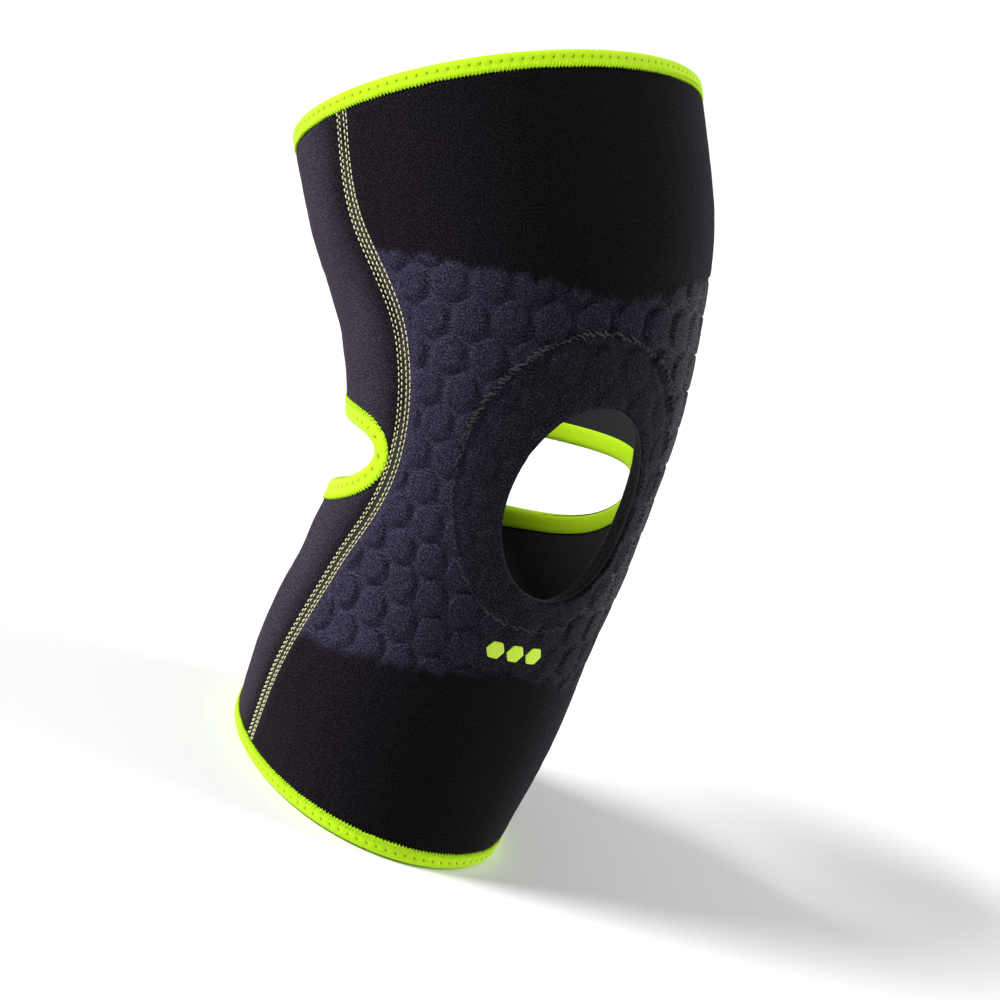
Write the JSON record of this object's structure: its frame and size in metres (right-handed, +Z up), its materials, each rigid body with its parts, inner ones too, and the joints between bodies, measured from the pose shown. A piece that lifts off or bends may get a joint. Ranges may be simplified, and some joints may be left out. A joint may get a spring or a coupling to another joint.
{
  "type": "knee brace",
  "caption": "Pull-on knee sleeve with open kneecap and padded ring, bent at the knee, with folded edge bindings and an opening behind the knee.",
  "frame": {"origin": "centre of the calf opening, on the level of the calf rim that the part stands on", "axes": "+Z up along the calf end, -Y is the front with the kneecap opening, -X is the outer side of the right leg"},
  "size_m": [0.1725, 0.1973, 0.319],
  "materials": {
    "front_fabric": "matte brushed nap, heat-embossed with rounded cells round the kneecap",
    "rear_fabric": "matte brushed nap",
    "lining": "smooth knitted lining",
    "foam": "closed-cell foam, matte cut edge",
    "ring_foam": "closed-cell foam, matte",
    "binding": "folded neon lime tape",
    "binding_thread": "lime zigzag stitching",
    "seam_thread": "pale yellow-green flatlock stitching",
    "dark_thread": "black stitching",
    "seam_tape": "black tape",
    "print": "matte heat-transfer print"
  },
  "bodies": {
    "calf_half": {"front_face": "front_fabric", "front_core_knee": "foam", "front_core_calf": "foam", "front_lining": "lining", "rear_face": "rear_fabric", "rear_core_knee": "foam", "rear_core_calf": "foam", "rear_lining": "lining", "patella_ring": "ring_foam", "ring_cover": "lining", "ring_thread": "dark_thread", "bottom_binding": "binding", "back_binding": "binding", "bottom_binding_thread": "binding_thread", "back_binding_thread": "binding_thread", "outer_seam_thread": "seam_thread", "inner_seam_thread": "seam_thread", "outer_seam_tape": "seam_tape", "inner_seam_tape": "seam_tape", "emblem": "print"},
    "thigh_half": {"front_core_thigh": "foam", "rear_core_thigh": "foam", "top_binding": "binding", "top_binding_thread": "binding_thread"}
  },
  "joints": [
    {"name": "knee_flex", "type": "hinge", "parent": "calf_half", "child": "thigh_half", "pos_m": [-0.0009, 0.0035, 0.1468], "axis": [-0.9703, -0.2419, 0], "range_deg": [-40, 60], "stiffness_Nm_per_rad": 0.8, "springref_deg": -1.38, "deforming": ["front_face", "front_core_knee", "front_lining", "rear_face", "rear_core_knee", "rear_lining", "patella_ring", "ring_cover", "ring_thread", "back_binding", "back_binding_thread", "outer_seam_thread", "inner_seam_thread", "outer_seam_tape", "inner_seam_tape"]}
  ]
}
